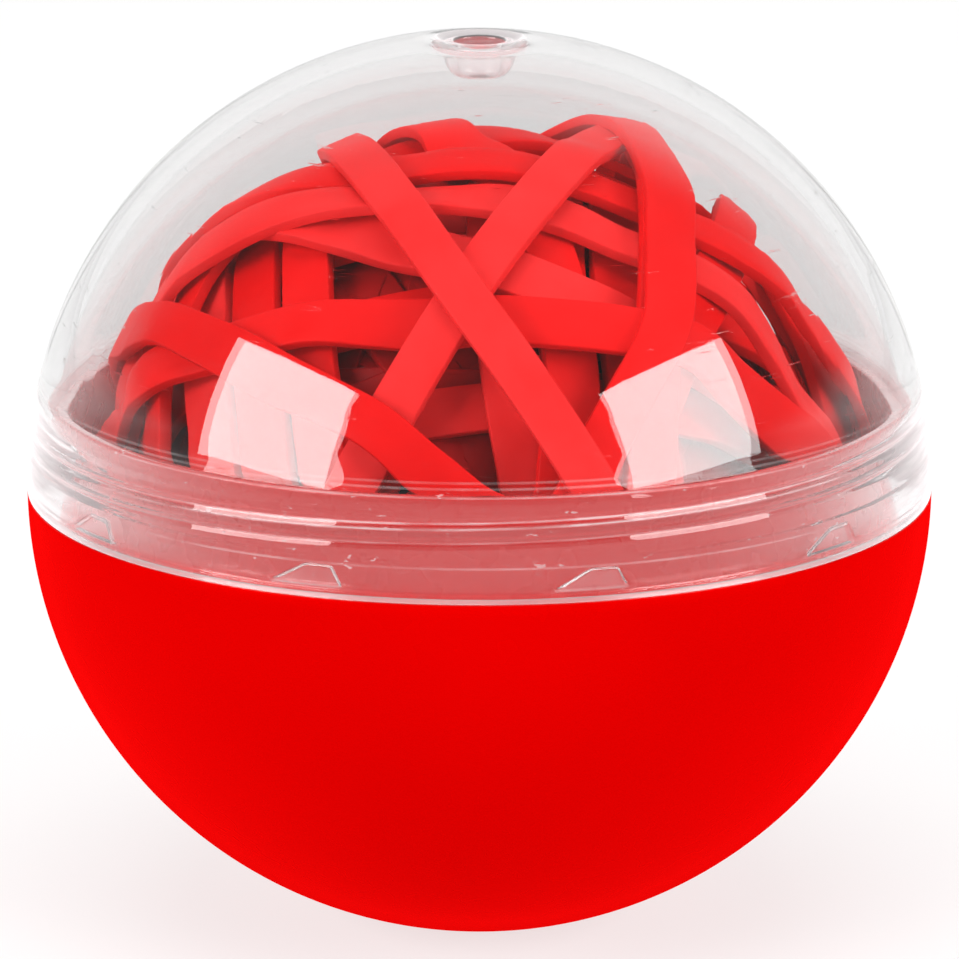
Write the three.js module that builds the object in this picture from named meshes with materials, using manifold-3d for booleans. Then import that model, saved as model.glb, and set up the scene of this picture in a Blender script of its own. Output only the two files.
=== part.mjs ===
// A rubber band ball in a screw-together desk globe: a red base with a neck, a clear dome lid that
// fits over the neck, and a ball wound from flat rubber bands.
// Millimetres, +Z up. The origin is the middle of the base's flat foot.

import * as THREE from 'three';
import { mergeVertices } from 'three/addons/utils/BufferGeometryUtils.js';
import Module from 'manifold-3d';

const wasm = await Module();
wasm.setup();

// ---- Driving dimensions ----
const GLOBE_RADIUS = 32.5;
const FOOT_RADIUS = 6.8; // the flat that the globe stands on
const SEAM_Z = Math.sqrt(GLOBE_RADIUS ** 2 - FOOT_RADIUS ** 2); // the seam is at the globe's middle
const FIT_GAP = 0.3; // between pieces that touch
const TURNED_SIDES = 48;

const BASE_INNER_RADIUS = 30.9;
const BASE_FLOOR = 1.1; // thickness of the base's bottom over the foot
const NECK = { inner: 28.95, outer: 29.8, height: 6.7, chamfer: 0.25 };

const LID_INNER_RADIUS = 31;
const SKIRT = { inner: 30.5, height: 7.6 }; // the cylinder inside the lid that goes over the neck
const HOLE = { radius: 1.8, rimRadius: 3, rimDrop: 0.35, rimEdge: 0.3, collarRadius: 2.5, depth: 2.7 };
const LUG = { count: 10, firstAngle: 14.1, width: 4.7, low: 0.6, high: 1.75, reach: 0.35 };
const LUG_SLOPES = { left: 2.1, right: 0.6 }; // how far each end of a lug leans in, along the wall
const LUG_ROOT = 0.6; // how deep a lug's block goes into the wall

const BAND = { width: 3.5, thickness: 0.95, stations: 40 };
const SQUEEZE = { from: 3.5, span: 4.5, least: 0.45 }; // where bands pile up, those on top are drawn thinner
const BALL_CENTRE_Z = -1; // from the seam
const WINDING_RADIUS = 23.9; // the inner winding, before the ball is pressed into the globe
const BALL_FIT = { across: 0.985, above: 0.94, below: 0.985 }; // how the globe presses the ball
const LUMPS = { from: 27.3, share: 0.45 }; // what stands out further than this is pressed in
const NECK_PRESS = { from: 27.5, share: 0.3 }; // and what would not go through the neck

// ---- Materials ----
const redPlastic = new THREE.MeshStandardMaterial({ color: 0xe40000, roughness: 0.25, metalness: 0 });
const clearPlastic = new THREE.MeshStandardMaterial({
  color: 0xf2f2f2, roughness: 0.08, metalness: 0, transparent: true, opacity: 0.3,
});
const redRubber = new THREE.MeshStandardMaterial({ color: 0xff3333, roughness: 0.6, metalness: 0 });
const shadedRubber = new THREE.MeshStandardMaterial({ color: 0xb01818, roughness: 0.75, metalness: 0 });

const RADIANS = Math.PI / 180;

// ---- Helpers ----

function weldedMesh(name, geometry, material) {
  const bare = geometry.clone();
  bare.deleteAttribute('normal');
  bare.deleteAttribute('uv');
  const mesh = new THREE.Mesh(mergeVertices(bare, 1e-5), material);
  mesh.name = name;
  return mesh;
}

function solidOf(geometry) {
  const { geometry: welded } = weldedMesh('', geometry);
  return new wasm.Manifold(new wasm.Mesh({
    numProp: 3,
    vertProperties: Float32Array.from(welded.attributes.position.array),
    triVerts: Uint32Array.from(welded.index.array),
  }));
}

function geometryOf(solid) {
  const { vertProperties, triVerts } = solid.getMesh();
  const geometry = new THREE.BufferGeometry();
  geometry.setAttribute('position', new THREE.BufferAttribute(vertProperties, 3));
  geometry.setIndex(new THREE.BufferAttribute(triVerts, 1));
  return geometry;
}

// Points [radius, height] along a circle about the globe's middle, between two heights.
function arc(circleRadius, fromHeight, toHeight, steps) {
  const from = Math.asin(fromHeight / circleRadius);
  const to = Math.asin(toHeight / circleRadius);
  return Array.from({ length: steps + 1 }, (_, i) => {
    const angle = from + ((to - from) * i) / steps;
    return [circleRadius * Math.cos(angle), circleRadius * Math.sin(angle)];
  });
}

const heightOnCircle = (circleRadius, radius) => Math.sqrt(circleRadius ** 2 - radius ** 2);

// A profile of [radius, height] points, run anticlockwise about its material, turned about Z.
function turned(profile) {
  const points = profile.map(([radius, height]) => new THREE.Vector2(radius, height));
  return new THREE.LatheGeometry(points, TURNED_SIDES).rotateX(Math.PI / 2);
}

// ---- Base: bowl, shoulder and neck in one moulding ----

function baseGeometry() {
  const floorHeight = -SEAM_Z + BASE_FLOOR;
  const straightFrom = -heightOnCircle(BASE_INNER_RADIUS, NECK.inner);
  return turned([
    [0, -SEAM_Z],
    ...arc(GLOBE_RADIUS, -SEAM_Z, 0, 13),
    [NECK.outer, 0],
    [NECK.outer, NECK.height - NECK.chamfer],
    [NECK.outer - NECK.chamfer, NECK.height],
    [NECK.inner, NECK.height],
    ...arc(BASE_INNER_RADIUS, straightFrom, floorHeight, 7),
    [0, floorHeight],
  ]);
}

// ---- Dome lid: dome, hole with its collar, skirt and ratchet lugs in one moulding ----

function lidShell() {
  const rimHeight = GLOBE_RADIUS - HOLE.rimDrop; // the rim lies in a shallow dish
  const collarFoot = GLOBE_RADIUS - HOLE.depth;
  const rimFoot = heightOnCircle(GLOBE_RADIUS, HOLE.rimRadius);
  const collarTop = heightOnCircle(LID_INNER_RADIUS, HOLE.collarRadius);
  return turned([
    ...arc(GLOBE_RADIUS, FIT_GAP, rimFoot, 14),
    [HOLE.rimRadius - HOLE.rimEdge / 2, rimHeight],
    [HOLE.radius + HOLE.rimEdge, rimHeight],
    [HOLE.radius, rimHeight - HOLE.rimEdge],
    [HOLE.radius, collarFoot],
    [HOLE.collarRadius, collarFoot],
    ...arc(LID_INNER_RADIUS, collarTop, SKIRT.height, 9),
    [SKIRT.inner, SKIRT.height],
    [SKIRT.inner, FIT_GAP],
    [heightOnCircle(GLOBE_RADIUS, FIT_GAP), FIT_GAP],
  ]);
}

// One lug: a low block with a long slope at its left and a short one at its right, on the skirt's wall.
function lugSolid(index) {
  const half = LUG.width / 2;
  const outline = new THREE.Shape([
    new THREE.Vector2(-half, LUG.low),
    new THREE.Vector2(half, LUG.low),
    new THREE.Vector2(half - LUG_SLOPES.right, LUG.high),
    new THREE.Vector2(-half + LUG_SLOPES.left, LUG.high),
  ]);
  const depth = LUG.reach + LUG_ROOT;
  const block = new THREE.ExtrudeGeometry(outline, { depth, bevelEnabled: false });
  block.rotateX(Math.PI / 2); // the outline's height becomes Z, and its depth runs towards -Y
  block.translate(0, -(SKIRT.inner - LUG.reach), 0);
  block.rotateZ((LUG.firstAngle + (index * 360) / LUG.count) * RADIANS);
  return solidOf(block);
}

function lidGeometry() {
  let lid = solidOf(lidShell());
  for (let index = 0; index < LUG.count; index += 1) lid = lid.add(lugSolid(index));
  return geometryOf(lid);
}

// ---- The ball ----
// Each band lies in a plane of its own near the ball's middle. LAY gives that plane's normal as a
// heading about Z and a tilt above level, in degrees, and the plane's distance from the middle.
// The bands are laid in this order, each drawn tight over the earlier ones.

// Bands side by side: one normal, several distances.
const sideBySide = (heading, tilt, offsets) => offsets.map((offset) => [heading, tilt, offset]);

const LAY = [
  ...sideBySide(100, 50, [-12, -4, 4, 12]),
  ...sideBySide(-5, 12, [-14.5, -10.5, -6.5, 6.5, 10.5, 14.5]),
  [-90, 11, 0], [-78, 29, 9], [-151, 17, 9], [51, 52, 9], [172, 22, -9], [77, 34, 9], [77, 17, -3.5],
  [-177, 8, -9], [80, 41, -3], [162, 24, 3.5], [36, 41, -8], [-162, 34, 6.5], [13, 31, 6],
];

const PROBES = 360; // directions in which a band's support is felt for
const SIDES = [-1, -0.5, 0, 0.5, 1].map((share) => (share * BAND.width) / 2); // and across its width
const LEANS = [-0.6, -0.45, -0.3, -0.15, 0, 0.15, 0.3, 0.45, 0.6]; // rise across a band, per width
const SLOPE_PROBES = 2; // half the length of a slope beside a crossing
const TAUTNESS = 0.6; // 0 follows the ball's surface, 1 is a straight line between crossings
const BAND_CLEARANCE = { first: 0.06, step: 0.05, last: 1.5 }; // between bands, tried in turn
const SUPPORT_PASSES = 3; // how often a support is felt for again, each time from where it was found
const MOST_CUT = 0.002; // the overlap that is let pass, in cubic millimetres
const SIDE_CLEARANCE = 0.1; // beside a band that is crossed

function bandPlane([heading, tilt, offset]) {
  const level = Math.cos(tilt * RADIANS);
  const normal = new THREE.Vector3(
    level * Math.cos(heading * RADIANS), level * Math.sin(heading * RADIANS), Math.sin(tilt * RADIANS),
  );
  const along = new THREE.Vector3(-normal.y, normal.x, 0).normalize();
  const rise = new THREE.Vector3().crossVectors(normal, along);
  return { normal, along, rise, offset };
}

// A point in a band's plane, or beside it, at an angle and a distance from the plane's middle.
function pointInPlane(plane, side, angle, reach) {
  return new THREE.Vector3()
    .addScaledVector(plane.normal, plane.offset + side)
    .addScaledVector(plane.along, reach * Math.cos(angle))
    .addScaledVector(plane.rise, reach * Math.sin(angle));
}

// Where an angle falls among a band's stations: the one before it, the one after it and the share.
function between(angle) {
  const place = ((angle / (2 * Math.PI) + 1) % 1) * BAND.stations;
  const first = Math.floor(place) % BAND.stations;
  return { first, next: (first + 1) % BAND.stations, share: place - Math.floor(place) };
}

// The straight line between two reaches a step of angle apart, seen from the middle.
function chord(a, b, share) {
  const step = (2 * Math.PI) / BAND.stations;
  return (a * b * Math.sin(step)) / (a * Math.sin(share * step) + b * Math.sin((1 - share) * step));
}

// A band's thickness where its inner face is this far out.
function thicknessAt(reach) {
  const piled = Math.max(0, reach - WINDING_RADIUS - SQUEEZE.from) / SQUEEZE.span;
  return BAND.thickness * Math.max(SQUEEZE.least, 1 - (1 - SQUEEZE.least) * piled);
}

// The distance from a laid band's middle to its outer face, at an angle and a place across its width.
function outerReach(band, angle, side) {
  const { first, next, share } = between(angle);
  const outerAt = (station) => (
    band.inner[station] + band.lean[station] * side + thicknessAt(band.inner[station])
  );
  return chord(outerAt(first), outerAt(next), share);
}

// How far out the ball reaches at a place of a new band's footprint.
function supportAt(plane, side, angle, laid, clearance) {
  const beside = plane.offset + side;
  let reach = Math.sqrt(WINDING_RADIUS ** 2 - beside ** 2) + clearance;
  for (const band of laid) {
    for (let pass = 0; pass < SUPPORT_PASSES; pass += 1) {
      const point = pointInPlane(plane, side, angle, reach);
      const height = point.dot(band.plane.normal);
      if (Math.abs(height - band.plane.offset) > BAND.width / 2 + SIDE_CLEARANCE) break;
      const around = Math.atan2(point.dot(band.plane.rise), point.dot(band.plane.along));
      const beyond = outerReach(band, around, height - band.plane.offset);
      const needed = (beyond + clearance) ** 2 + height ** 2 - beside ** 2;
      reach = Math.max(reach, Math.sqrt(needed));
    }
  }
  return reach;
}

// The convex outline round points given as distances at equal angles, as distances again.
function drawnTight(reaches) {
  const points = reaches.map((reach, i) => {
    const angle = (2 * Math.PI * i) / reaches.length;
    return { x: reach * Math.cos(angle), y: reach * Math.sin(angle), i };
  });
  const start = reaches.indexOf(Math.max(...reaches));
  const ordered = [...points.slice(start), ...points.slice(0, start), points[start]];
  const hull = [];
  for (const point of ordered) {
    while (hull.length > 1) {
      const [a, b] = hull.slice(-2);
      if ((b.x - a.x) * (point.y - a.y) - (b.y - a.y) * (point.x - a.x) > 1e-9) break;
      hull.pop();
    }
    hull.push(point);
  }
  const tight = reaches.slice();
  for (let k = 0; k + 1 < hull.length; k += 1) {
    const [a, b] = [hull[k], hull[k + 1]];
    const count = (b.i - a.i + reaches.length) % reaches.length || reaches.length;
    for (let s = 1; s < count; s += 1) {
      const index = (a.i + s) % reaches.length;
      const angle = (2 * Math.PI * index) / reaches.length;
      const across = (b.x - a.x) * Math.sin(angle) - (b.y - a.y) * Math.cos(angle);
      tight[index] = (a.y * (b.x - a.x) - a.x * (b.y - a.y)) / across;
    }
  }
  return tight;
}

// A slack band's distances: over everything that it crosses, with a soft slope to either side.
function settled(reaches) {
  const around = (values, i, merge) => merge(Array.from(
    { length: 2 * SLOPE_PROBES + 1 },
    (_, k) => values[(i + k - SLOPE_PROBES + values.length) % values.length],
  ));
  const widened = reaches.map((_, i) => around(reaches, i, (near) => Math.max(...near)));
  return widened.map((_, i) => around(widened, i, (near) => near.reduce((a, b) => a + b) / near.length));
}

// Fewer stations, moved out so that the straight lines between them stay outside the outline.
function atStations(tight) {
  const perStation = PROBES / BAND.stations;
  const reachAt = (station) => tight[(station % BAND.stations) * perStation];
  const stretch = Array.from({ length: BAND.stations }, (_, station) => {
    const [a, b] = [reachAt(station), reachAt(station + 1)];
    let most = 1;
    for (let k = 1; k < perStation; k += 1) {
      most = Math.max(most, tight[station * perStation + k] / chord(a, b, k / perStation));
    }
    return most;
  });
  return stretch.map((after, station) => {
    const before = stretch[(station + BAND.stations - 1) % BAND.stations];
    return reachAt(station) * Math.max(before, after);
  });
}

// How much a band leans at each station, so that it lies flat on what is under it.
function leans(felt, offset) {
  const onBareBall = -offset / Math.sqrt(WINDING_RADIUS ** 2 - offset ** 2);
  const choices = LEANS.map((lean) => onBareBall + lean);
  const flattest = felt.map((reaches) => {
    const tops = choices.map((lean) => Math.max(...reaches.map((reach, k) => reach - lean * SIDES[k])));
    return choices[tops.indexOf(Math.min(...tops))];
  });
  const perStation = PROBES / BAND.stations;
  return Array.from({ length: BAND.stations }, (_, station) => {
    const near = Array.from({ length: 2 * perStation + 1 }, (_, k) => (
      flattest[(station * perStation + k - perStation + PROBES) % PROBES]
    ));
    return near.reduce((a, b) => a + b) / near.length;
  });
}

function wound(lay, laid, clearance) {
  const plane = bandPlane(lay);
  const felt = Array.from({ length: PROBES }, (_, i) => (
    SIDES.map((side) => supportAt(plane, side, (2 * Math.PI * i) / PROBES, laid, clearance))
  ));
  const lean = leans(felt, plane.offset);
  const reaches = felt.map((across, i) => {
    const { first, next, share } = between((2 * Math.PI * i) / PROBES);
    const slope = lean[first] * (1 - share) + lean[next] * share;
    return Math.max(...across.map((reach, k) => reach - slope * SIDES[k]));
  });
  const rested = settled(reaches);
  const tight = drawnTight(rested);
  const inner = atStations(rested.map((reach, i) => reach + TAUTNESS * (tight[i] - reach)));
  return { plane, inner, lean };
}

// Distances past a limit count only in part.
const pressedPast = ({ from, share }, length) => Math.min(length, from) + share * Math.max(0, length - from);

// The globe presses the round ball a little flat above and lets it hang a little below.
function pressed(point) {
  const inGlobe = point.clone().setLength(pressedPast(LUMPS, point.length()));
  const wide = Math.hypot(inGlobe.x, inGlobe.y) * BALL_FIT.across;
  const across = (pressedPast(NECK_PRESS, wide) / Math.max(wide, 1e-6)) * BALL_FIT.across;
  const press = point.z > 0 ? BALL_FIT.above : BALL_FIT.below;
  return new THREE.Vector3(
    inGlobe.x * across, inGlobe.y * across, inGlobe.z * press + BALL_CENTRE_Z,
  );
}

function bandGeometry({ plane, inner, lean }) {
  const half = BAND.width / 2;
  const positions = [];
  for (let station = 0; station < BAND.stations; station += 1) {
    const angle = (2 * Math.PI * station) / BAND.stations;
    const thickness = thicknessAt(inner[station]);
    for (const [side, out] of [[-half, 0], [half, 0], [half, thickness], [-half, thickness]]) {
      const reach = inner[station] + lean[station] * side + out;
      positions.push(...pressed(pointInPlane(plane, side, angle, reach)));
    }
  }
  const index = [];
  for (let station = 0; station < BAND.stations; station += 1) {
    const next = (station + 1) % BAND.stations;
    for (let corner = 0; corner < 4; corner += 1) {
      const turn = (corner + 1) % 4;
      const [a, b] = [station * 4 + corner, station * 4 + turn];
      const [c, d] = [next * 4 + turn, next * 4 + corner];
      index.push(a, b, c, a, c, d);
    }
  }
  const geometry = new THREE.BufferGeometry();
  geometry.setAttribute('position', new THREE.Float32BufferAttribute(positions, 3));
  geometry.setIndex(index);
  return geometry;
}

function innerWindingGeometry() {
  const ball = mergeVertices(new THREE.IcosahedronGeometry(WINDING_RADIUS, 5).deleteAttribute('normal')
    .deleteAttribute('uv'), 1e-4);
  const position = ball.attributes.position;
  for (let i = 0; i < position.count; i += 1) {
    const point = pressed(new THREE.Vector3().fromBufferAttribute(position, i));
    position.setXYZ(i, point.x, point.y, point.z);
  }
  return ball;
}

// ---- The object ----

const globe = new THREE.Group();
globe.position.z = SEAM_Z;
globe.add(weldedMesh('base', baseGeometry(), redPlastic));
globe.add(weldedMesh('dome_lid', lidGeometry(), clearPlastic));
globe.add(weldedMesh('inner_winding', innerWindingGeometry(), shadedRubber));

// A band that still cuts into an earlier one is laid again a little looser.
function layBand(lay, laid) {
  for (let clearance = BAND_CLEARANCE.first; ; clearance += BAND_CLEARANCE.step) {
    const band = wound(lay, laid, clearance);
    band.geometry = bandGeometry(band);
    band.solid = solidOf(band.geometry);
    const cut = Math.max(0, ...laid.map((earlier) => earlier.solid.intersect(band.solid).volume()));
    if (cut < MOST_CUT || clearance > BAND_CLEARANCE.last) return band;
  }
}

const laid = [];
for (const lay of LAY) laid.push(layBand(lay, laid));
laid.forEach((band, i) => {
  globe.add(weldedMesh(`band_${String(i + 1).padStart(2, '0')}`, band.geometry, redRubber));
});

export default globe;
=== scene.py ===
"""A rubber band ball in a clear-lidded red desk globe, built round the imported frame."""

import math
import warnings

import bmesh
import bpy
import numpy as np
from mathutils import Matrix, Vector
from mathutils.bvhtree import BVHTree


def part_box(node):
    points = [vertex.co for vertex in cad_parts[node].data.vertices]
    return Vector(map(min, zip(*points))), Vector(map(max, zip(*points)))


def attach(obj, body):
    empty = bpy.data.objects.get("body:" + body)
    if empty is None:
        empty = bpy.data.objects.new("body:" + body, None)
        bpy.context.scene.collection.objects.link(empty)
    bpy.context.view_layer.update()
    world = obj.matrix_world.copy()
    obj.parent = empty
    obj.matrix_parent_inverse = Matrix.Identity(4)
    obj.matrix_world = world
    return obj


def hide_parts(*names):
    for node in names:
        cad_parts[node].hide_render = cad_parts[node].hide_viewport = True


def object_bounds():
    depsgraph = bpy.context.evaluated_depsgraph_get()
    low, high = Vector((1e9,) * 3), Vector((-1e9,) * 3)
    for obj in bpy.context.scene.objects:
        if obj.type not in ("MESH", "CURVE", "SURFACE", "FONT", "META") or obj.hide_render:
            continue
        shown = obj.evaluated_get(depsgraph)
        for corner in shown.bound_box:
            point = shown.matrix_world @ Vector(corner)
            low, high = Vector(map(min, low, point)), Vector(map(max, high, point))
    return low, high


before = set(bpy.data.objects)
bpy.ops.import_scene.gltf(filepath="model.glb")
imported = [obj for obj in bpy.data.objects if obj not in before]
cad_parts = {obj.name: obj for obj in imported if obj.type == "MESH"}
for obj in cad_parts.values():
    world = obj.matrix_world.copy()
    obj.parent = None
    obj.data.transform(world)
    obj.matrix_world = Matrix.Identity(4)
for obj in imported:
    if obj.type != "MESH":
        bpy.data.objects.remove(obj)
cad_low, cad_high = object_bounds()

# ---- Sizes, in metres, worked out from the frame where it gives them ----
MM = 0.001
LID_GAP = 0.3 * MM  # what the frame leaves between the lid's skirt and the base's shoulder
GLOBE_RADIUS = (cad_high[0] - cad_low[0]) / 2
SEAM_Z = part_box("dome_lid")[0].z - LID_GAP
FOOT_RADIUS = math.sqrt(GLOBE_RADIUS**2 - SEAM_Z**2)
NECK_TOP_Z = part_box("base")[1].z
BALL_CENTRE = Vector((0, 0, SEAM_Z - 1.0 * MM))
CORE_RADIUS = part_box("inner_winding")[1].x

NECK_OUTER, NECK_INNER = 29.8 * MM, 28.95 * MM
BOWL_INNER = 30.9 * MM
BOWL_FLOOR_Z = 1.1 * MM
DOME_INNER = 31.0 * MM
SKIRT_INNER, SKIRT_TOP = 30.5 * MM, 7.6 * MM  # the step inside the lid is this far over the seam
HOLE_RADIUS, RIM_RADIUS, COLLAR_RADIUS = 1.8 * MM, 3.0 * MM, 2.5 * MM
RIM_DROP, DISH_DROP, COLLAR_DEPTH = 0.35 * MM, 0.5 * MM, 3.3 * MM  # below the top of the globe
SEAM_CRACK = 0.05 * MM  # how close the real lid sits to the shoulder

THREAD_PITCH = 3.65 * MM
THREAD_HALF_WIDTH, THREAD_FLANK = 0.58 * MM, 0.46 * MM
NECK_THREAD_Z = 4.58 * MM  # over the seam, at the front
LID_THREAD_DEPTH, NECK_THREAD_DEPTH = 0.16 * MM, 0.2 * MM
SINK_LINES = (5.15 * MM, 3.8 * MM)  # over the seam, at the front, where each starts to draw in
SINK_WIDTH, SINK_RETURN, SINK_DEPTH = 0.42 * MM, 0.25 * MM, 0.095 * MM
LID_THREAD_DROP = 0.35 * MM  # how far the lid's ridges are below its sinks
# painted highlight lines along the rings: height at the front, whether it rises with the thread, and how strongly
# the highlight is painted
PAINTED_HIGHLIGHT_LINES = ((5.15 * MM, True, 0.8), (5.53 * MM, True, 0.9), (4.2 * MM, True, 0.35), (2.5 * MM, False, 0.45),
              (7.17 * MM, False, 0.6), (7.75 * MM, False, 0.35), (8.15 * MM, False, 0.25))
RING_TOP = 8.5 * MM
LUG_COUNT, LUG_FIRST = 10, math.radians(14.1)
LUG_LOW, LUG_HIGH, LUG_DEPTH = 0.6 * MM, 1.75 * MM, 0.34 * MM
LUG_HALF_WIDTH, LUG_SLOPE_LEFT, LUG_SLOPE_RIGHT = 2.35 * MM, 2.1 * MM, 0.6 * MM

CORNER_RADIUS = 0.12 * MM  # along an outer strip
DEEP_RINGS = 36
SEED = 7
ROOM_ROWS = 60  # how finely the room under the outer strips is felt for

CAMERA_DISTANCE, CAMERA_ELEVATION, CAMERA_LENS = 12 * GLOBE_RADIUS, math.radians(15), 203.0
DIM = 0.07  # the studio's brightness where it isn't white


# ---- Mesh helpers ----


def even_angles(count):
    return np.arange(count) * 2 * math.pi / count


def mesh_object(name, points, faces, material, smooth=True):
    """A new object at the origin, with its place in its mesh."""
    mesh = bpy.data.meshes.new(name)
    mesh.from_pydata([tuple(p) for p in points], [], faces)
    mesh.validate()
    mesh.materials.append(material)
    mesh.polygons.foreach_set("use_smooth", [smooth] * len(mesh.polygons))
    obj = bpy.data.objects.new(name, mesh)
    bpy.context.scene.collection.objects.link(obj)
    return obj


def smoothstep(low, high, value):
    """0 at low and before it, 1 at high and past it; low may be the larger."""
    share = np.clip((value - low) / (high - low), 0, 1)
    return share * share * (3 - 2 * share)


def arc(radius, from_z, to_z, steps):
    """Points (distance from the axis, height over the seam) along a circle about the globe's middle."""
    angles = np.linspace(math.asin(from_z / radius), math.asin(to_z / radius), steps + 1)
    return [(radius * math.cos(a), radius * math.sin(a)) for a in angles]


def rounded(corner, towards_before, towards_after, radius, steps=5):
    """A quarter-round of points that replaces a corner between two straight runs."""
    corner = np.array(corner)
    before = np.array(towards_before) * radius
    after = np.array(towards_after) * radius
    centre = corner + before + after
    turns = np.linspace(0, math.pi / 2, steps + 1)
    return [tuple(centre - after * math.cos(t) - before * math.sin(t)) for t in turns]


def straight(start, end, steps):
    """Points between two points, without the first."""
    shares = np.linspace(0, 1, steps + 1)[1:]
    return [tuple(np.array(start) + (np.array(end) - np.array(start)) * s) for s in shares]


def turned(name, profile, angles, material, relief=None):
    """A profile turned about Z through the given angles. It starts and ends on the axis, or closes on itself.
    relief(angle, distance, height) gives how far each point moves out from the axis."""
    radii = np.array([p[0] for p in profile])
    heights = np.array([p[1] for p in profile])
    segments = len(angles)
    on_axis = radii[0] < 1e-9
    inner = slice(1, -1) if on_axis else slice(None)
    r = np.repeat(radii[inner][:, None], segments, axis=1)
    z = np.repeat(heights[inner][:, None], segments, axis=1)
    a = np.repeat(angles[None, :], len(r), axis=0)
    if relief is not None:
        r = r + relief(a, r, z)
    points = np.stack([r * np.cos(a), r * np.sin(a), z + SEAM_Z], axis=-1).reshape(-1, 3)
    rows = len(r)
    faces = []
    for row in range(rows - 1 if on_axis else rows):
        below, above = row * segments, ((row + 1) % rows) * segments
        for s in range(segments):
            t = (s + 1) % segments
            faces.append((below + s, below + t, above + t, above + s))
    if on_axis:
        first, last = len(points), len(points) + 1
        ends = [(0, 0, heights[0] + SEAM_Z), (0, 0, heights[-1] + SEAM_Z)]
        points = np.vstack([points, ends])
        top = (rows - 1) * segments
        for s in range(segments):
            t = (s + 1) % segments
            faces.append((first, t, s))
            faces.append((last, top + s, top + t))
    return mesh_object(name, points, faces, material)


# ---- Relief of the moulded neck and skirt ----


def front_angle(angle):
    """Degrees round the globe from its front, -180 to 180, rising to the right."""
    return (np.degrees(angle) + 90 + 180) % 360 - 180


def thread_ridge(angle, height, front_z):
    """1 on a right-hand thread's ridge and 0 off it, fading out at its two ends."""
    ridge = np.zeros_like(height)
    for turn in (-1, 0):
        around = front_angle(angle) + 360 * turn
        centre = front_z + THREAD_PITCH * around / 360
        away = np.abs(height - centre)
        shape = np.clip((THREAD_HALF_WIDTH - away) / THREAD_FLANK, 0, 1)
        fade = smoothstep(-215, -200, around) * (1 - smoothstep(165, 180, around))
        ridge = np.maximum(ridge, shape * fade)
    return ridge


def lug_shape(angle, height):
    """1 on a ratchet lug and 0 beside it: each has a long slope at its left and a short one at its right."""
    step = 2 * math.pi / LUG_COUNT
    along = ((angle + math.pi / 2 - LUG_FIRST + step / 2) % step - step / 2) * SKIRT_INNER
    rise = (height - LUG_LOW) / (LUG_HIGH - LUG_LOW)
    left = -LUG_HALF_WIDTH + LUG_SLOPE_LEFT * rise
    right = LUG_HALF_WIDTH - LUG_SLOPE_RIGHT * rise
    edge = 0.16 * MM
    inside = smoothstep(left - edge, left + edge, along) * (1 - smoothstep(right - edge, right + edge, along))
    upright = smoothstep(LUG_LOW - edge, LUG_LOW, height) * (1 - smoothstep(LUG_HIGH, LUG_HIGH + edge, height))
    return inside * upright


def moulding_specks(angle, height):
    """Small flat dimples left in the skirt's inner wall by the mould."""
    random = np.random.default_rng(SEED)
    depth = np.zeros_like(height)
    for _ in range(70):
        at = random.uniform(-math.pi, math.pi)
        z = random.uniform(1.2, 7.0) * MM
        long, tall = random.uniform(0.25, 0.9) * MM, random.uniform(0.1, 0.22) * MM
        along = ((angle - at + math.pi) % (2 * math.pi) - math.pi) * SKIRT_INNER
        depth = np.maximum(depth, np.exp(-((along / long) ** 2) - ((height - z) / tall) ** 2))
    return depth


def helix(angle, height, front_z):
    """How far a height is above a right-hand helix that passes the front at front_z."""
    around = front_angle(angle)
    return height - front_z - THREAD_PITCH * around / 360


def saw_teeth(angle, height, drop):
    """0 beside the two lines of the lid's thread, rising slowly to 1 over each and falling back fast."""
    teeth = np.zeros_like(height)
    for front_z in SINK_LINES:
        above = helix(angle, height, front_z - drop)
        teeth = np.maximum(teeth, np.interp(above, (0, SINK_WIDTH, SINK_WIDTH + SINK_RETURN), (0, 1, 0)))
    return teeth * (1 - smoothstep(165, 180, np.abs(front_angle(angle))))


def lid_relief(angle, radius, height):
    """What stands in from the skirt's inner wall: the thread, the lugs, a fine step and the specks.
    On the outside, two shallow sinks run over the thread."""
    on_wall = (np.abs(radius - SKIRT_INNER) < 1e-6) & (height > 0.14 * MM)
    ridge = saw_teeth(angle, height, LID_THREAD_DROP) * LID_THREAD_DEPTH
    lugs = lug_shape(angle, height) * LUG_DEPTH
    step = smoothstep(2.5 * MM, 2.62 * MM, height) * 0.05 * MM
    specks = moulding_specks(angle, height) * 0.05 * MM
    inside = specks + step - 0.05 * MM - np.maximum(ridge, lugs)
    outside = -saw_teeth(angle, height, 0) * SINK_DEPTH
    distance = np.hypot(radius, height)
    on_ring = (np.abs(distance - GLOBE_RADIUS) < 1e-6) & (height > 1 * MM) & (height < RING_TOP)
    return np.where(on_wall, inside, np.where(on_ring, outside, 0.0))


def neck_relief(angle, radius, height):
    """The thread that stands out from the neck."""
    on_wall = np.abs(radius - NECK_OUTER) < 1e-6
    ridge = thread_ridge(angle, height, NECK_THREAD_Z)
    return np.where(on_wall, ridge * NECK_THREAD_DEPTH, 0.0)


# ---- Materials ----


def add_node(tree, kind, inputs=None, **settings):
    """A new node, with its settings, and its inputs given as values or as sockets to join."""
    node = tree.nodes.new(kind)
    for key, value in settings.items():
        setattr(node, key, value)
    for key, value in (inputs or {}).items():
        if isinstance(value, bpy.types.NodeSocket):
            tree.links.new(value, node.inputs[key])
        else:
            node.inputs[key].default_value = value
    return node


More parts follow.
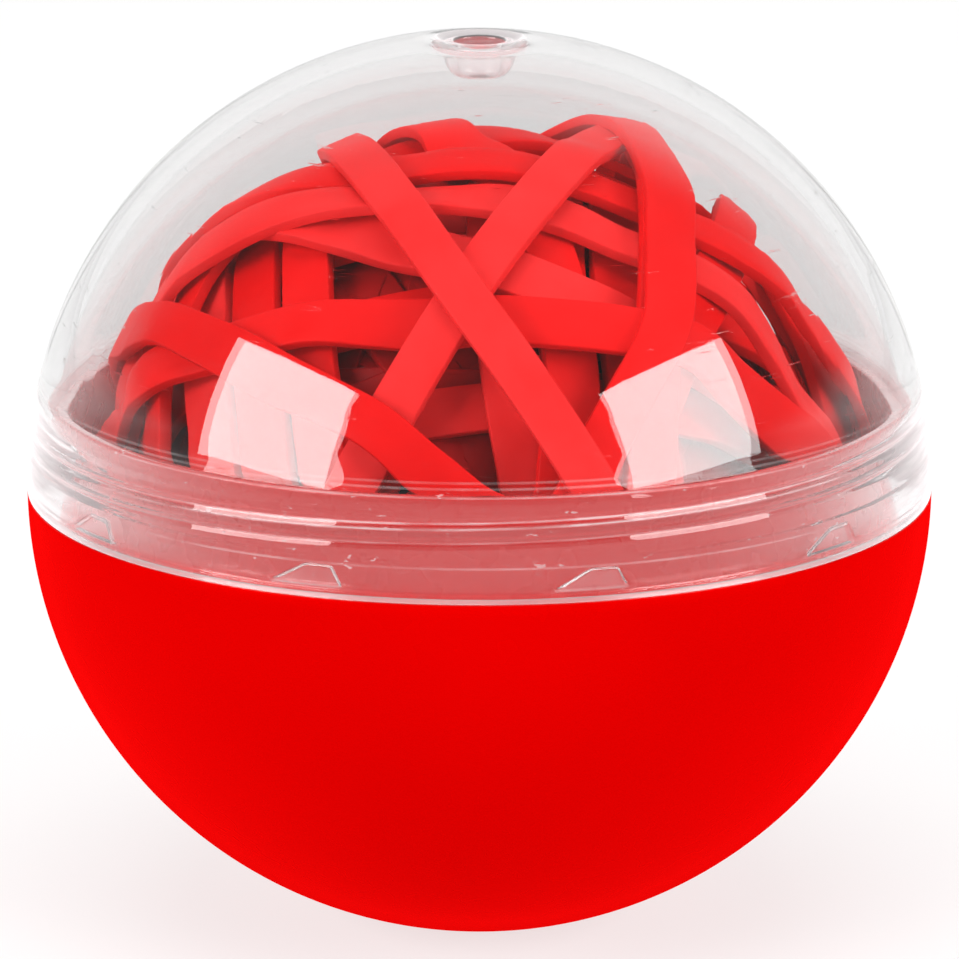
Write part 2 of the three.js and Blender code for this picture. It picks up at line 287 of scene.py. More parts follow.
class Nodes:
    """A material's node tree, with short calls to add and join nodes."""

    def __init__(self, name):
        self.material = bpy.data.materials.new(name)
        self.material.use_nodes = True
        self.tree = self.material.node_tree
        self.tree.nodes.clear()

    def add(self, kind, inputs=None, **settings):
        return add_node(self.tree, kind, inputs, **settings)

    def object_point(self, scale=(1, 1, 1)):
        here = self.add("ShaderNodeTexCoord").outputs["Object"]
        return self.add("ShaderNodeMapping", {"Vector": here, "Scale": scale}).outputs[0]

    def noise(self, point, scale, detail=2.0, roughness=0.5):
        inputs = {"Vector": point, "Scale": scale, "Detail": detail, "Roughness": roughness}
        return self.add("ShaderNodeTexNoise", inputs).outputs["Fac"]

    def between(self, value, low, high, out_low, out_high):
        inputs = {"Value": value, "From Min": low, "From Max": high, "To Min": out_low, "To Max": out_high}
        return self.add("ShaderNodeMapRange", inputs).outputs[0]

    def maths(self, operation, first, second):
        return self.add("ShaderNodeMath", {0: first, 1: second}, operation=operation).outputs[0]

    def ramp(self, value, *stops):
        node = self.add("ShaderNodeValToRGB", {"Fac": value})
        elements = node.color_ramp.elements
        while len(elements) < len(stops):
            elements.new(0.5)
        for element, (place, colour) in zip(elements, stops):
            element.position = place
            element.color = (*colour, 1)
        return node.outputs["Color"]

    def bump(self, height, strength, distance, normal=None):
        inputs = {"Height": height, "Strength": strength, "Distance": distance}
        if normal is not None:
            inputs["Normal"] = normal
        return self.add("ShaderNodeBump", inputs).outputs["Normal"]

    def finish(self, shader):
        output = self.add("ShaderNodeOutputMaterial")
        self.tree.links.new(shader, output.inputs["Surface"])
        return self.material


def red_plastic():
    """Glossy opaque red moulding, with a faint orange peel and a little mottling in its gloss."""
    nodes = Nodes("red_plastic")
    point = nodes.object_point()
    cloud = nodes.noise(point, 60, 3)
    colour = nodes.ramp(cloud, (0.3, (0.535, 0.0, 0.0)), (0.7, (0.565, 0.0, 0.0)))
    gloss = nodes.between(nodes.noise(point, 420, 2), 0.3, 0.7, 0.22, 0.32)
    peel = nodes.bump(nodes.noise(point, 900, 2), 0.05, 0.02 * MM)
    body = nodes.add("ShaderNodeBsdfPrincipled", {
        "Base Color": colour, "Roughness": gloss, "Normal": peel, "Specular IOR Level": 0.0,
    })
    height = nodes.add("ShaderNodeSeparateXYZ", {0: point}).outputs["Z"]
    on_neck = nodes.between(height, SEAM_Z - 0.05 * MM, SEAM_Z + 0.15 * MM, 0, 1)
    sheen = nodes.ramp(on_neck, (0.0, (1.0, 0.003, 0.003)), (1.0, (1.0, 0.9, 0.9)))
    shine = nodes.add("ShaderNodeBsdfGlossy", {"Color": sheen, "Roughness": gloss, "Normal": peel})
    facing = nodes.add("ShaderNodeLayerWeight", {"Blend": 0.5}).outputs["Facing"]
    share = nodes.between(nodes.maths("POWER", facing, 3.0), 0, 0.5, 0.045, 0.8)
    mixed = nodes.add("ShaderNodeMixShader", {0: share, 1: body.outputs[0], 2: shine.outputs[0]})
    return nodes.finish(mixed.outputs[0])


def clear_plastic():
    """Clear moulded styrene: hairline scratches, a little haze, more of it low down, and a frosted gate mark
    round the hole. Lamps shine through it. Milky lines along its rings and round its lugs are painted highlights."""
    nodes = Nodes("clear_plastic")
    point = nodes.object_point()
    long_way = nodes.object_point((1, 1, 14))
    scuffs = nodes.between(nodes.noise(long_way, 170, 4, 0.7), 0.66, 0.72, 0, 1)
    wave = nodes.bump(nodes.noise(point, 70, 1), 0.12, 0.05 * MM)
    scratched = nodes.bump(scuffs, 0.25, 0.02 * MM, wave)
    height = nodes.add("ShaderNodeSeparateXYZ", {0: point}).outputs["Z"]
    round_axis = nodes.add("ShaderNodeVectorMath", {0: point, 1: (1, 1, 0)}, operation="MULTIPLY").outputs[0]
    distance = nodes.add("ShaderNodeVectorMath", {0: round_axis}, operation="LENGTH").outputs["Value"]
    gate = nodes.between(distance, 3.0 * MM, 3.5 * MM, 1.0, 0.0)
    gate = nodes.maths("MULTIPLY", gate, nodes.between(height, SEAM_Z + 29 * MM, SEAM_Z + 29.5 * MM, 0, 1))
    gloss = nodes.maths("ADD", nodes.between(scuffs, 0, 1, 0.015, 0.12), nodes.maths("MULTIPLY", gate, 0.15))
    low_down = nodes.between(height, SEAM_Z + SKIRT_TOP - 0.6 * MM, SEAM_Z + SKIRT_TOP + 0.1 * MM, 1.0, 0.0)
    tint = nodes.ramp(low_down, (0.0, (0.90, 0.89, 0.89)), (1.0, (0.84, 0.83, 0.83)))
    clear = nodes.add("ShaderNodeBsdfPrincipled", {
        "Base Color": tint, "Roughness": gloss, "IOR": 1.5,
        "Transmission Weight": 1.0, "Normal": scratched,
    })
    milk = nodes.add("ShaderNodeBsdfDiffuse", {"Color": (0.90, 0.84, 0.85, 1), "Normal": scratched})
    facing = nodes.add("ShaderNodeLayerWeight", {"Blend": 0.5}).outputs["Facing"]
    slant = nodes.between(nodes.maths("POWER", facing, 2.5), 0, 1, 0.008, 1.0)
    cloudy = nodes.between(nodes.noise(long_way, 60, 3, 0.6), 0.3, 0.8, 0.7, 1.5)
    low_haze = nodes.maths("MULTIPLY", nodes.maths("MULTIPLY", low_down, slant), cloudy)
    bore = nodes.between(distance, HOLE_RADIUS + 0.05 * MM, HOLE_RADIUS + 0.9 * MM, 0.12, 0.45)
    top = SEAM_Z + GLOBE_RADIUS
    bore = nodes.maths("MULTIPLY", bore, nodes.between(height, top - 1.7 * MM, top - 1.2 * MM, 0.6, 1.0))
    inside = nodes.add("ShaderNodeNewGeometry").outputs["Backfacing"]
    low_haze = nodes.maths("MULTIPLY", low_haze, nodes.between(inside, 0, 1, 1.0, 0.5))
    share = nodes.maths("MAXIMUM", nodes.maths("ADD", low_haze, 0.002), nodes.maths("MULTIPLY", gate, bore))
    # painted highlights: milky white lines along the rings and round the lug edges, from the lid's attribute
    painted_highlight = nodes.add("ShaderNodeAttribute", attribute_name="painted_highlight").outputs["Fac"]
    patchy = nodes.between(nodes.noise(point, 240, 2, 0.6), 0.35, 0.65, 0.35, 1.0)
    share = nodes.maths("MAXIMUM", share, nodes.maths("MULTIPLY", nodes.maths("MULTIPLY", painted_highlight, patchy), 0.5))
    speck = nodes.between(nodes.noise(nodes.object_point((1, 1, 2.2)), 620, 3, 0.65), 0.685, 0.71, 0, 0.3)
    share = nodes.maths("MAXIMUM", share, nodes.maths("MULTIPLY", speck, low_down))
    hazy = nodes.add("ShaderNodeMixShader", {0: share, 1: clear.outputs[0], 2: milk.outputs[0]})
    see_through = nodes.add("ShaderNodeBsdfTransparent", {"Color": (0.93, 0.93, 0.93, 1)})
    path = nodes.add("ShaderNodeLightPath")
    lamp_ray = nodes.maths("MAXIMUM", path.outputs["Is Shadow Ray"], path.outputs["Is Diffuse Ray"])
    mixed = nodes.add("ShaderNodeMixShader", {0: lamp_ray, 1: hazy.outputs[0], 2: see_through.outputs[0]})
    return nodes.finish(mixed.outputs[0])


def red_rubber(name, dark, bright):
    """Flat rubber strip: satin, a little powdery, with fine grain and small blotches."""
    nodes = Nodes(name)
    point = nodes.object_point()
    blotch = nodes.noise(point, 130, 4, 0.6)
    colour = nodes.ramp(blotch, (0.3, dark), (0.7, bright))
    grain = nodes.noise(point, 2600, 3, 0.6)
    gloss = nodes.between(blotch, 0.3, 0.7, 0.42, 0.6)
    relief = nodes.bump(grain, 0.18, 0.03 * MM, nodes.bump(nodes.noise(point, 320, 2), 0.15, 0.08 * MM))
    shader = nodes.add("ShaderNodeBsdfPrincipled", {
        "Base Color": colour, "Roughness": gloss, "Normal": relief,
        "Specular IOR Level": 0.08,
    })
    return nodes.finish(shader.outputs[0])


def pale_floor():
    nodes = Nodes("pale_floor")
    tone = nodes.noise(nodes.object_point(), 3, 2)
    colour = nodes.ramp(tone, (0.3, (0.23, 0.23, 0.23)), (0.7, (0.25, 0.25, 0.25)))
    shader = nodes.add("ShaderNodeBsdfPrincipled", {
        "Base Color": colour, "Roughness": 0.9, "Specular IOR Level": 0.0,
        "Emission Color": (1, 1, 1, 1), "Emission Strength": 0.71,
    })
    return nodes.finish(shader.outputs[0])


# ---- The two mouldings ----


def build_base(material):
    floor = BOWL_FLOOR_Z - SEAM_Z
    straight_from = -math.sqrt(BOWL_INNER**2 - NECK_INNER**2)
    neck_height = NECK_TOP_Z - SEAM_Z
    foot = (FOOT_RADIUS, -SEAM_Z)
    outside = arc(GLOBE_RADIUS, -SEAM_Z, -0.06 * MM, 56)
    profile = [(0, -SEAM_Z), (FOOT_RADIUS * 0.5, -SEAM_Z), (FOOT_RADIUS - 0.3 * MM, -SEAM_Z), foot]
    profile += outside[1:]
    profile += [(GLOBE_RADIUS - 0.02 * MM, -0.02 * MM), (GLOBE_RADIUS - 0.07 * MM, 0)]
    profile += straight((GLOBE_RADIUS - 0.07 * MM, 0), (NECK_OUTER + 0.1 * MM, 0), 3)
    profile += [(NECK_OUTER, 0.1 * MM)]
    profile += straight((NECK_OUTER, 0.1 * MM), (NECK_OUTER, neck_height - 0.25 * MM), 44)
    lip = rounded((NECK_OUTER - 0.001 * MM, neck_height), (0, -1), (-1, 0), 0.24 * MM)
    profile += lip[1:]
    profile += rounded((NECK_INNER, neck_height), (1, 0), (0, -1), 0.2 * MM)
    profile += arc(BOWL_INNER, straight_from, floor, 24)
    profile += [(0, floor)]
    return turned("base_shell", profile, even_angles(480), material, neck_relief)


def build_lid(material):
    rim_foot = math.sqrt(GLOBE_RADIUS**2 - RIM_RADIUS**2)
    rim_z = GLOBE_RADIUS - RIM_DROP
    dish_z = GLOBE_RADIUS - DISH_DROP
    collar_z = GLOBE_RADIUS - COLLAR_DEPTH
    collar_top = math.sqrt(DOME_INNER**2 - COLLAR_RADIUS**2)
    low_edge = math.sqrt(GLOBE_RADIUS**2 - (SEAM_CRACK + 0.05 * MM) ** 2)
    profile = [(low_edge - 0.04 * MM, SEAM_CRACK)]
    profile += arc(GLOBE_RADIUS, SEAM_CRACK + 0.05 * MM, RING_TOP, 104)
    profile += arc(GLOBE_RADIUS, RING_TOP, rim_foot - 0.01 * MM, 33)[1:]
    # a shallow dish round the hole, with a low lip in its middle
    profile += [(RIM_RADIUS - 0.1 * MM, rim_foot - 0.04 * MM), (RIM_RADIUS - 0.3 * MM, rim_foot - 0.16 * MM)]
    profile += [(RIM_RADIUS - 0.5 * MM, dish_z + 0.06 * MM), (RIM_RADIUS - 0.65 * MM, dish_z + 0.03 * MM)]
    profile += [(HOLE_RADIUS + 0.4 * MM, rim_z - 0.03 * MM)]
    profile += rounded((HOLE_RADIUS, rim_z), (1, 0), (0, -1), 0.24 * MM, 7)
    # the gate's stub under the hole, drawn in towards its end
    profile += straight(profile[-1], (HOLE_RADIUS - 0.45 * MM, collar_z + 0.2 * MM), 3)
    profile += [(HOLE_RADIUS - 0.38 * MM, collar_z), (HOLE_RADIUS - 0.15 * MM, collar_z)]
    profile += [(HOLE_RADIUS + 0.2 * MM, collar_z + 0.25 * MM), (HOLE_RADIUS + 0.5 * MM, collar_z + 0.65 * MM)]
    profile += [(COLLAR_RADIUS, collar_z + 1.2 * MM), (COLLAR_RADIUS + 0.1 * MM, collar_top - 0.1 * MM)]
    profile += arc(DOME_INNER, collar_top - 0.08 * MM, SKIRT_TOP + 0.15 * MM, 25)
    # the skirt opens out in two gentle steps below the dome
    profile += [(SKIRT_INNER - 0.28 * MM, SKIRT_TOP - 0.3 * MM)]
    profile += straight(profile[-1], (SKIRT_INNER, SKIRT_TOP - 1.6 * MM), 3)
    profile += straight((SKIRT_INNER, SKIRT_TOP - 1.6 * MM), (SKIRT_INNER, 0.15 * MM), 52)
    profile += rounded((SKIRT_INNER, SEAM_CRACK), (0, 1), (1, 0), 0.05 * MM, 3)
    profile += [(SKIRT_INNER + 0.12 * MM, SEAM_CRACK), (low_edge - 0.12 * MM, SEAM_CRACK)]
    lid = turned("dome_lid_shell", profile, lid_angles(), material, lid_relief)
    mark_painted_highlights(lid)
    return lid


def lid_angles():
    """Angles round the lid, closer together where a lug's two ends slope."""
    left = np.linspace(-LUG_HALF_WIDTH - 0.3 * MM, -LUG_HALF_WIDTH + LUG_SLOPE_LEFT + 0.3 * MM, 15)
    right = np.linspace(LUG_HALF_WIDTH - LUG_SLOPE_RIGHT - 0.2 * MM, LUG_HALF_WIDTH + 0.2 * MM, 8)
    top = np.linspace(left[-1], right[0], 4)[1:-1]
    step = 2 * math.pi / LUG_COUNT * SKIRT_INNER
    beside = np.linspace(right[-1], left[0] + step, 16)[1:-1]
    one_lug = np.concatenate([left, top, right, beside]) / SKIRT_INNER + LUG_FIRST - math.pi / 2
    return np.concatenate([one_lug + 2 * math.pi * k / LUG_COUNT for k in range(LUG_COUNT)])


def mark_painted_highlights(lid):
    """Gives the lid an attribute of painted highlights: it is 1 on white lines painted along its rings and round
    its lugs, standing in for highlights.
    """
    count = len(lid.data.vertices)
    co = np.empty(count * 3)
    lid.data.vertices.foreach_get("co", co)
    x, y, z = co.reshape(-1, 3).T
    height = z - SEAM_Z
    angle = np.arctan2(y, x)
    painted_highlight = np.zeros(count)
    for front_z, rises, strength in PAINTED_HIGHLIGHT_LINES:
        away = np.abs(helix(angle, height, front_z) if rises else height - front_z)
        painted_highlight = np.maximum(painted_highlight, strength * (1 - smoothstep(0.02 * MM, 0.11 * MM, away)))
    outside = np.sqrt(x**2 + y**2 + height**2) > GLOBE_RADIUS - 0.3 * MM
    lug = lug_shape(angle, height)
    on_wall = (np.hypot(x, y) < SKIRT_INNER + 0.1 * MM) & (height < LUG_HIGH + 0.5 * MM)
    # painted highlight round the edges of each lug
    edges = np.where(on_wall, 0.3 * lug + 2.4 * lug * (1 - lug), 0.0)
    attribute = lid.data.attributes.new("painted_highlight", "FLOAT", "POINT")
    attribute.data.foreach_set("value", np.where(outside, painted_highlight, edges))


# ---- The ball ----


def band_edges(node):
    """A laid band's two inner edges and its thickness at each station, from its solid in the frame.
    Returns the left and right edge points and the thicknesses, in order round the loop."""
    mesh = node.data
    co = np.empty(len(mesh.vertices) * 3)
    mesh.vertices.foreach_get("co", co)
    points = np.unique(np.round(co.reshape(-1, 3) / 1e-7).astype(np.int64), axis=0) * 1e-7
    away = points - points.mean(0)
    along, _, normal = np.linalg.svd(away, full_matrices=False)[2]
    rise = np.cross(normal, along)
    angles = np.arctan2(away @ rise, away @ along)
    order = np.argsort(angles)
    count = len(points) // 4
    gaps = np.diff(np.append(angles[order], angles[order][0] + 2 * math.pi))
    start = int(np.argmax(gaps)) + 1
    order = np.roll(order, -start)
    left, right, thickness = [], [], []
    for k in range(count):
        group = order[4 * k: 4 * k + 4]
        side = away[group] @ normal
        by_side = group[np.argsort(side)]
        pairs = []
        for pair in (by_side[:2], by_side[2:]):
            reach = np.linalg.norm(points[pair] - np.array(BALL_CENTRE), axis=1)
            pairs.append(points[pair[np.argsort(reach)]])
        left.append(pairs[0][0])
        right.append(pairs[1][0])
        thickness.append(np.linalg.norm(pairs[0][1] - pairs[0][0]))
    return np.array(left), np.array(right), np.array(thickness)


def round_loop(values, count):
    """A smooth closed curve through the given points, as count points (Catmull-Rom)."""
    values = np.asarray(values, float)
    n = len(values)
    place = np.arange(count) * n / count
    k = place.astype(int)
    t = (place - k).reshape(-1, *([1] * (values.ndim - 1)))
    a, b, c, d = (values[(k + shift) % n] for shift in (-1, 0, 1, 2))
    return 0.5 * (2 * b + (c - a) * t + (2 * a - 5 * b + 4 * c - d) * t**2
                  + (3 * b - a - 3 * c + d) * t**3)


def strip_section(width, thickness, corner):
    """A flat strip's section as (across, out) points, anticlockwise: cut square, with softened corners."""
    half = width / 2
    points = []
    for centre, start in (
        ((half - corner, corner), -math.pi / 2), ((half - corner, thickness - corner), 0.0),
        ((-half + corner, thickness - corner), math.pi / 2), ((-half + corner, corner), math.pi),
    ):
        for turn in np.linspace(0, math.pi / 2, 3):
            angle = start + turn
            points.append((centre[0] + corner * math.cos(angle), centre[1] + corner * math.sin(angle)))
    crown = [(half * s, thickness * 1.03) for s in (0.45, 0.0, -0.45)]
    points[6:6] = crown
    return np.array(points)


def strip_loop(left, right, thickness, random):
    """Points and faces of one rubber strip that follows two edges round a closed loop."""
    count = len(left)
    middle = (left + right) / 2
    across = right - left
    width = np.linalg.norm(across, axis=1)
    across = across / width[:, None]
    forward = np.roll(middle, -1, axis=0) - np.roll(middle, 1, axis=0)
    forward /= np.linalg.norm(forward, axis=1)[:, None]
    out = np.cross(forward, across)
    out /= np.linalg.norm(out, axis=1)[:, None]
    if (out * (middle - np.array(BALL_CENTRE))).sum() < 0:
        out = -out
    waves = np.arange(count) * 2 * math.pi / count
    uneven = 1 + 0.03 * np.sin(waves * random.integers(2, 5) + random.uniform(0, 6))
    points = []
    for k in range(count):
        section = strip_section(width[k] * uneven[k], thickness[k], CORNER_RADIUS)
        points.append(middle[k] + section[:, :1] * across[k] + section[:, 1:] * out[k])
    ring = len(points[0])
    points = np.concatenate(points)
    faces = []
    for k in range(count):
        here, there = k * ring, ((k + 1) % count) * ring
        for s in range(ring):
            t = (s + 1) % ring
            faces.append((here + s, here + t, there + t, there + s))
    return points, faces


def facing_out(obj):
    """Turns every face outwards."""
    mesh = bmesh.new()
    mesh.from_mesh(obj.data)
    bmesh.ops.recalc_face_normals(mesh, faces=mesh.faces)
    mesh.to_mesh(obj.data)
    mesh.free()
    return obj


def build_bands(materials):
    random = np.random.default_rng(SEED)
    strips = []
    names = sorted(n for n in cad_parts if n.startswith("band_"))
    for index, name in enumerate(names):
        left, right, thickness = band_edges(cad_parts[name])
        stations = 6 * len(left)
        thickness = np.maximum(round_loop(thickness, stations), 0.8 * MM)
        points, faces = strip_loop(round_loop(left, stations), round_loop(right, stations), thickness, random)
        strip = facing_out(mesh_object(f"{name}_strip", points, faces, materials[index % len(materials)]))
        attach(strip, "base")
        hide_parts(name)
        strips.append(strip)
    return strips


def winding_tree(material):
    """Geometry Nodes: flat rubber rings, each a turned great or smaller circle of one ball."""
    tree = bpy.data.node_groups.new("wound_rings", "GeometryNodeTree")
    face = tree.interface
    sockets = {}
    for name, kind, value in (
        ("Rings", "NodeSocketInt", 26), ("Reach", "NodeSocketFloat", CORE_RADIUS - 0.9 * MM),
        ("Strip width", "NodeSocketFloat", 3.4 * MM), ("Strip thickness", "NodeSocketFloat", 0.9 * MM),
        ("Spread", "NodeSocketFloat", 7 * MM), ("Seed", "NodeSocketInt", SEED),
    ):
        socket = face.new_socket(name, in_out="INPUT", socket_type=kind)
        socket.default_value = value
        sockets[name] = socket.identifier
    face.new_socket("Mesh", in_out="OUTPUT", socket_type="NodeSocketGeometry")

    def add(kind, inputs=None, **settings):
        return add_node(tree, kind, inputs, **settings)

    def math_node(operation, first, second=0.0):
        return add("ShaderNodeMath", {0: first, 1: second}, operation=operation).outputs[0]

    given = add("NodeGroupInput").outputs
    loop = add("GeometryNodeCurvePrimitiveCircle", {"Resolution": 120, "Radius": given["Reach"]})
    section = add("GeometryNodeCurvePrimitiveQuadrilateral",
                  {"Width": given["Strip thickness"], "Height": given["Strip width"]})
    soft = add("GeometryNodeFilletCurve",
               {"Curve": section.outputs[0], "Radius": 0.16 * MM, "Count": 2}, mode="POLY")
    ring = add("GeometryNodeCurveToMesh", {"Curve": loop.outputs["Curve"], "Profile Curve": soft.outputs[0]})
    smooth = add("GeometryNodeSetShadeSmooth", {0: ring.outputs[0]})
    points = add("GeometryNodePoints", {"Count": given["Rings"]})

    def random_value(kind, low, high, extra):
        node = add("FunctionNodeRandomValue", data_type=kind)
        wanted = "VECTOR" if kind == "FLOAT_VECTOR" else "VALUE"
        ends = [i for i in node.inputs if i.type == wanted and i.name in ("Min", "Max")]
        for socket, value in zip(ends, (low, high)):
            if isinstance(value, bpy.types.NodeSocket):
                tree.links.new(value, socket)
            else:
                socket.default_value = value
        seed = [i for i in node.inputs if i.name == "Seed"][0]
        tree.links.new(math_node("ADD", given["Seed"], extra), seed)
        return [o for o in node.outputs if o.type == wanted][0]

    turn = random_value("FLOAT_VECTOR", (0, 0, 0), (2 * math.pi,) * 3, 0)
    aside = random_value("FLOAT", math_node("MULTIPLY", given["Spread"], -1.0), given["Spread"], 1)
    layer = random_value("FLOAT", 0.96, 1.0, 2)
    ratio = math_node("DIVIDE", aside, given["Reach"])
    left = math_node("SUBTRACT", 1.0, math_node("MULTIPLY", ratio, ratio))
    scale = math_node("MULTIPLY", math_node("SQRT", left), layer)
    axis = add("FunctionNodeRotateVector", {"Rotation": turn, "Vector": (0, 0, 1)})
    place = add("ShaderNodeVectorMath", {0: axis.outputs[0]}, operation="SCALE")
    tree.links.new(aside, place.inputs["Scale"])
    spots = add("GeometryNodeSetPosition", {"Geometry": points.outputs[0], "Position": place.outputs[0]})
    rings = add("GeometryNodeInstanceOnPoints", {"Points": spots.outputs[0], "Instance": smooth.outputs[0],
                                                 "Rotation": turn, "Scale": scale})
    centred = add("GeometryNodeTransform", {"Geometry": rings.outputs[0], "Translation": BALL_CENTRE})
    whole = add("GeometryNodeRealizeInstances", {0: centred.outputs[0]})
    dressed = add("GeometryNodeSetMaterial", {"Geometry": whole.outputs[0], "Material": material})
    add("NodeGroupOutput", {0: dressed.outputs[0]})
    return tree, sockets


def plain_mesh(name, tree, values):
    """What a tree makes from the given values, as a plain object with its place in its mesh."""
    holder = bpy.data.objects.new(name, bpy.data.meshes.new(name))
    bpy.context.scene.collection.objects.link(holder)
    modifier = holder.modifiers.new("tree", "NODES")
    modifier.node_group = tree
    for identifier, value in values.items():
        modifier[identifier] = value
    graph = bpy.context.evaluated_depsgraph_get()
    graph.update()
    mesh = bpy.data.meshes.new_from_object(holder.evaluated_get(graph))
    holder.modifiers.remove(modifier)
    holder.data = mesh
    return holder


def room_under(strips):
    """How far out there is room below the strips, by heading and height, from the ball's centre."""
    trees = [BVHTree.FromPolygons([v.co for v in s.data.vertices], [p.vertices for p in s.data.polygons])
             for s in strips]
    room = np.full((ROOM_ROWS, 2 * ROOM_ROWS), np.nan)
    for row in range(ROOM_ROWS):
        tilt = (row + 0.5) * math.pi / ROOM_ROWS - math.pi / 2
        for column in range(2 * ROOM_ROWS):
            heading = (column + 0.5) * math.pi / ROOM_ROWS
            way = Vector((math.cos(tilt) * math.cos(heading), math.cos(tilt) * math.sin(heading), math.sin(tilt)))
            hits = [t.ray_cast(BALL_CENTRE, way)[3] for t in trees]
            hits = [h for h in hits if h is not None]
            if hits:
                room[row, column] = min(hits)

    def near(values, reach, merge):
        wide = np.pad(values, ((reach, reach), (0, 0)), mode="edge")
        shifts = range(-reach, reach + 1)
        moved = [np.roll(wide[reach + r: reach + r + ROOM_ROWS], c, axis=1) for r in shifts for c in shifts]
        return merge(np.stack(moved), axis=0)

    with warnings.catch_warnings():
        warnings.simplefilter("ignore")
        least = near(room, 1, np.nanmin)
        for _ in range(4):
            least = np.where(np.isnan(least), near(least, 2, np.nanmean), least)
    least = np.where(np.isnan(least), CORE_RADIUS, least)
    return near(near(least, 1, np.mean), 1, np.mean)


def lifted(obj, room):
    """Moves the wound rings out until they lie just under the strips above them."""
    co = np.empty(len(obj.data.vertices) * 3)
    obj.data.vertices.foreach_get("co", co)
    away = co.reshape(-1, 3) - np.array(BALL_CENTRE)
    reach = np.linalg.norm(away, axis=1)
    tilt = np.arcsin(away[:, 2] / reach)
    heading = np.arctan2(away[:, 1], away[:, 0]) % (2 * math.pi)
    row = (tilt + math.pi / 2) * ROOM_ROWS / math.pi - 0.5
    column = heading * ROOM_ROWS / math.pi - 0.5
    r0, c0 = np.floor(row).astype(int), np.floor(column).astype(int)
    fr, fc = row - r0, column - c0

    def pick(rows, columns):
        return room[np.clip(rows, 0, ROOM_ROWS - 1), columns % (2 * ROOM_ROWS)]

    limit = ((pick(r0, c0) * (1 - fc) + pick(r0, c0 + 1) * fc) * (1 - fr)
             + (pick(r0 + 1, c0) * (1 - fc) + pick(r0 + 1, c0 + 1) * fc) * fr)
    away *= ((reach + limit - CORE_RADIUS - 0.05 * MM) / reach)[:, None]
    obj.data.vertices.foreach_set("co", (away + np.array(BALL_CENTRE)).ravel())
    obj.data.update()


def build_inner_winding(material, core_material, strips):
    """The deeper strips, wound in rings over a core and lifted to lie under the outer strips. The darker rubber
    and near-black core they are given are painted shade for the depths of the ball.
    """
    tree, sockets = winding_tree(material)
    winding = facing_out(plain_mesh("inner_strips", tree, {sockets["Rings"]: DEEP_RINGS, sockets["Seed"]: SEED}))
    lifted(winding, room_under(strips))
    radius = CORE_RADIUS - 2.3 * MM
    rows = np.linspace(-math.pi / 2, math.pi / 2, 40)
    profile = [(radius * math.cos(a), radius * 0.94 * math.sin(a) - 1 * MM) for a in rows]
    profile[0], profile[-1] = (0, profile[0][1]), (0, profile[-1][1])
    core = turned("inner_core", profile, even_angles(96), core_material)
    for piece in (winding, core):
        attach(piece, "base")
        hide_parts("inner_winding")


# ---- Stage ----


def build_stage():
    size = 3.0
    floor = mesh_object("floor", [(-size, -size, 0), (size, -size, 0), (size, size, 0), (-size, size, 0)],
                        [(0, 1, 2, 3)], pale_floor(), smooth=False)


def aimed(obj, place, target):
    obj.location = place
    obj.rotation_euler = (Vector(target) - Vector(place)).to_track_quat("-Z", "Y").to_euler()
    bpy.context.scene.collection.objects.link(obj)
    return obj


def softbox(name, direction, distance, width, height, radiance):
    """A rectangular lamp that faces the globe, as bright as the given radiance."""
    lamp = bpy.data.lights.new(name, "AREA")
    lamp.shape = "RECTANGLE"
    lamp.size, lamp.size_y = width, height
    lamp.energy = radiance * math.pi * width * height
    place = Vector((0, 0, SEAM_Z)) + Vector(direction).normalized() * distance
    return aimed(bpy.data.objects.new(name, lamp), place, (0, 0, SEAM_Z))


def build_camera():
    distance = CAMERA_DISTANCE
    elevation = CAMERA_ELEVATION
    camera = bpy.data.cameras.new("camera")
    camera.sensor_width = 36
    camera.lens = CAMERA_LENS
    place = Vector((0, -distance * math.cos(elevation), SEAM_Z + distance * math.sin(elevation)))
    bpy.context.scene.camera = aimed(bpy.data.objects.new("camera", camera), place, (0, 0, SEAM_Z))


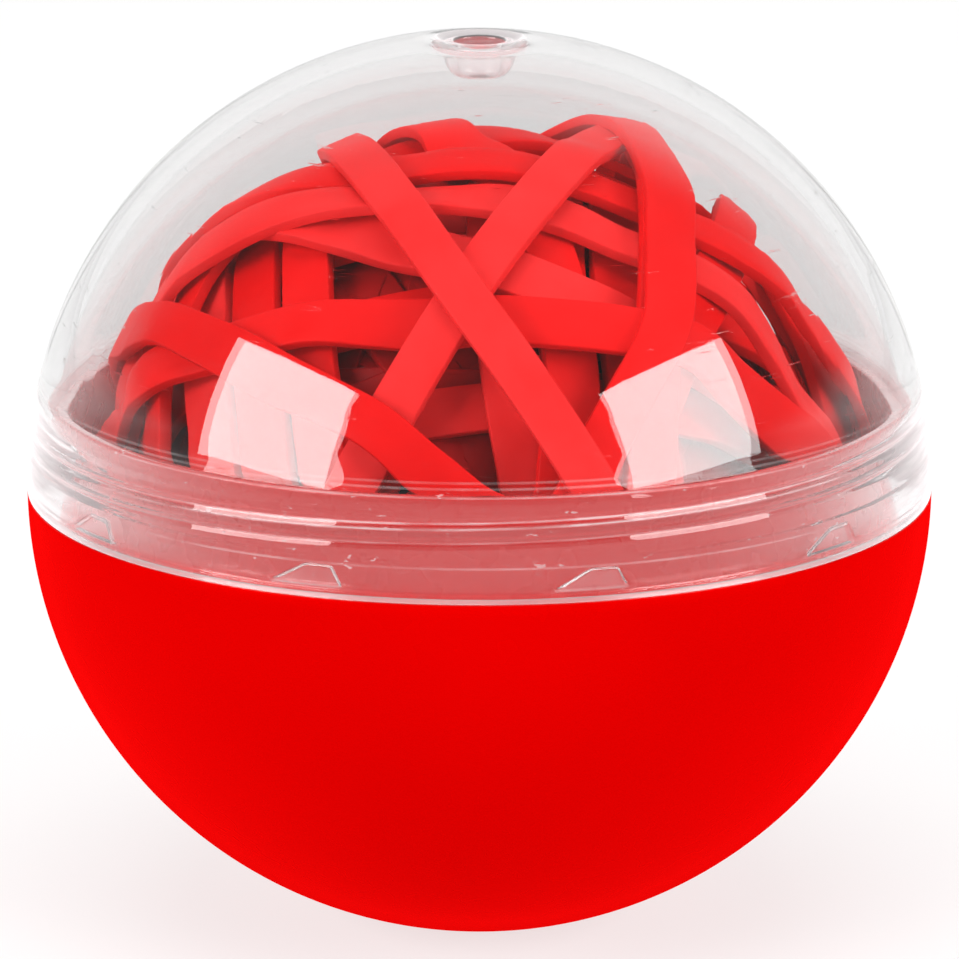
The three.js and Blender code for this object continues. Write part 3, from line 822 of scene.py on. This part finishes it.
def build_light():
    """White all round, but for the dim studio behind the camera and over it, and two soft boxes."""
    world = bpy.data.worlds.new("studio")
    world.use_nodes = True
    tree = world.node_tree
    here = tree.nodes.new("ShaderNodeTexCoord")
    parts = tree.nodes.new("ShaderNodeSeparateXYZ")
    tree.links.new(here.outputs["Generated"], parts.inputs[0])

    def ranged(socket, low, high, out_low, out_high):
        node = tree.nodes.new("ShaderNodeMapRange")
        node.interpolation_type = "SMOOTHSTEP"
        for name, value in (("From Min", low), ("From Max", high), ("To Min", out_low), ("To Max", out_high)):
            node.inputs[name].default_value = value
        tree.links.new(socket, node.inputs["Value"])
        return node.outputs[0]

    # dim overhead and in front, white at the back and all round near the ground
    behind = ranged(parts.outputs["Y"], 0.3, 0.75, DIM, 1.0)
    low_down = ranged(parts.outputs["Z"], 0.06, 0.24, 1.0, DIM)
    brighter = tree.nodes.new("ShaderNodeMath")
    brighter.operation = "MAXIMUM"
    tree.links.new(behind, brighter.inputs[0])
    tree.links.new(low_down, brighter.inputs[1])
    background = tree.nodes["Background"]
    background.inputs["Color"].default_value = (1, 1, 1, 1)
    tree.links.new(brighter.outputs[0], background.inputs["Strength"])
    bpy.context.scene.world = world
    for name, side in (("left_softbox", -1), ("right_softbox", 1)):
        softbox(name, (side * 0.782, -0.498, 0.385), 1.5, 1.0, 0.66, 8.5)
    top = softbox("top_light", (0, -0.15, 1), 1.5, 1.4, 1.4, 3.4)
    top.visible_glossy = False
    top.visible_transmission = False
    bpy.context.scene.view_settings.view_transform = "Standard"


# ---- The whole thing ----

base = build_base(red_plastic())
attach(base, "base")
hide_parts("base")

lid = build_lid(clear_plastic())
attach(lid, "lid")
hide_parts("dome_lid")

strips = build_bands([
    red_rubber("rubber_plain", (0.79, 0.003, 0.003), (0.86, 0.008, 0.008)),
    red_rubber("rubber_light", (0.84, 0.016, 0.016), (0.90, 0.032, 0.032)),
    red_rubber("rubber_deep", (0.72, 0.001, 0.001), (0.80, 0.004, 0.004)),
])
# painted shade: the deeper strips are painted darker than the outer ones and the core near black, standing in for
# the shade deep in the ball
build_inner_winding(red_rubber("rubber_inner_painted_shade", (0.34, 0.002, 0.002), (0.46, 0.005, 0.005)),
                    red_rubber("rubber_core_painted_shade", (0.02, 0.0, 0.0), (0.04, 0.001, 0.001)), strips)
build_stage()
build_camera()
build_light()
